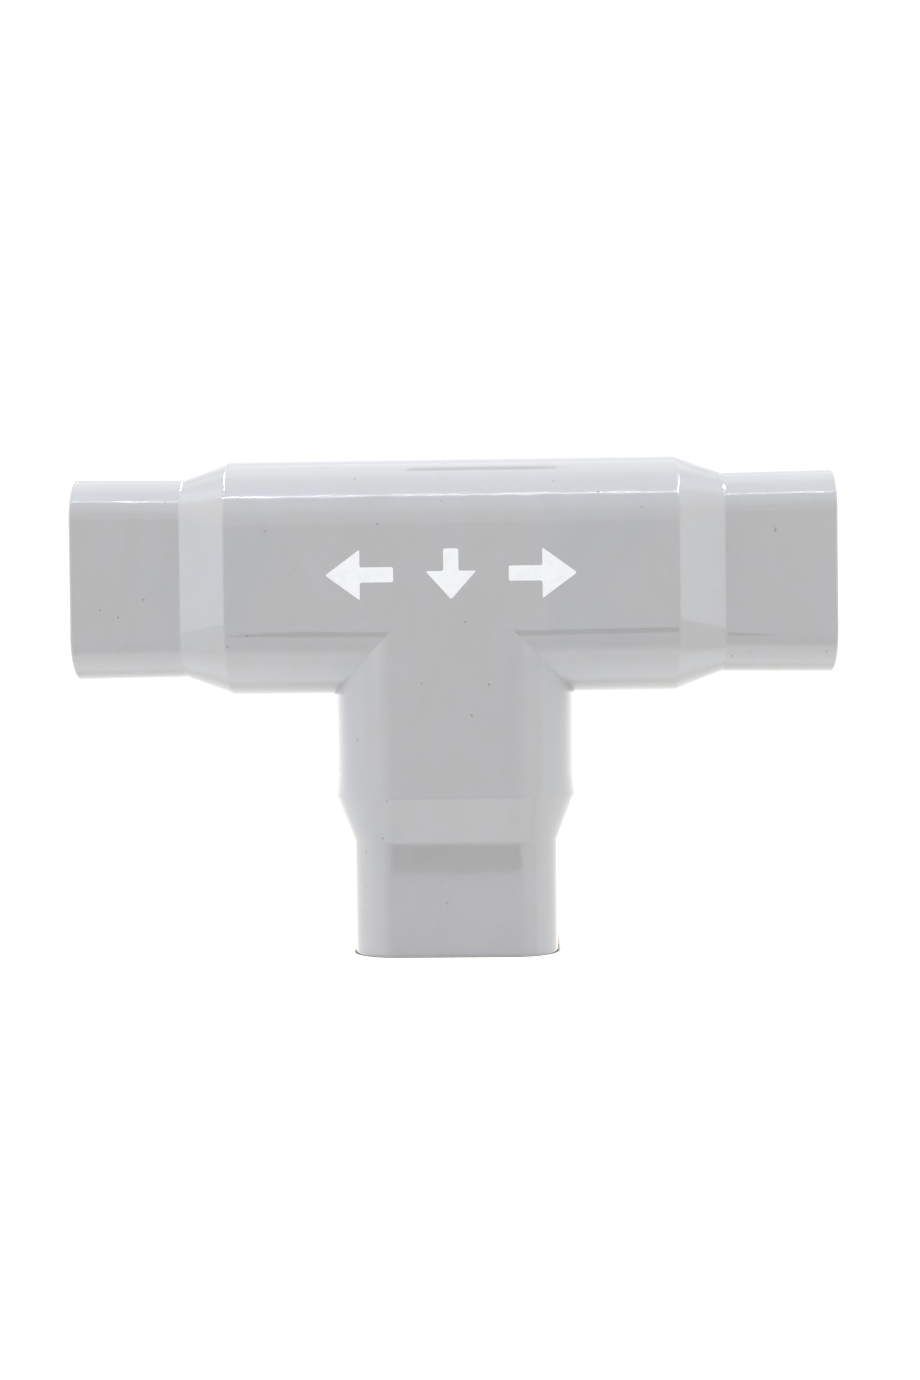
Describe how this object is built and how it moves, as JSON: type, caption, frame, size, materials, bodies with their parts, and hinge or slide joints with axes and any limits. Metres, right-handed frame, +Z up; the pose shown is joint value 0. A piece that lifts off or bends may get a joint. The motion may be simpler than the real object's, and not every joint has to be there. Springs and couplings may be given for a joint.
{
  "type": "pipe tee fitting",
  "caption": "Grey glossy PVC pipe tee with a wide rounded-square body and three narrower rounded-square necks, split into front and rear shells.",
  "frame": {"origin": "centre of the branch's mouth, on the surface the tee stands on", "axes": "+Z up the branch towards the run, +X along the run to its right-hand mouth, -Y out of the front"},
  "size_m": [0.148, 0.0476, 0.0972],
  "materials": {
    "grey_pvc": "gloss",
    "seal_rubber": "satin",
    "spacer_plastic": "matt",
    "spring_steel": "bright",
    "screw_steel": "bright"
  },
  "bodies": {
    "rear_body": {"rear_shell": "grey_pvc", "seam_gasket_top": "seal_rubber", "seam_gasket_left": "seal_rubber", "seam_gasket_right": "seal_rubber", "ring_seal_left": "seal_rubber", "spacer_ring_left": "spacer_plastic", "grab_ring_left": "spring_steel", "ring_seal_right": "seal_rubber", "spacer_ring_right": "spacer_plastic", "grab_ring_right": "spring_steel", "ring_seal_branch": "seal_rubber", "spacer_ring_branch": "spacer_plastic", "grab_ring_branch": "spring_steel", "screw_1": "screw_steel", "screw_2": "screw_steel", "screw_3": "screw_steel", "screw_4": "screw_steel", "screw_5": "screw_steel", "screw_6": "screw_steel", "screw_7": "screw_steel"},
    "front_body": {"front_shell": "grey_pvc"}
  },
  "joints": [
    {"name": "front_lift", "type": "slide", "parent": "rear_body", "child": "front_body", "axis": [0, -1, 0], "range_m": [0, 0.05]}
  ]
}
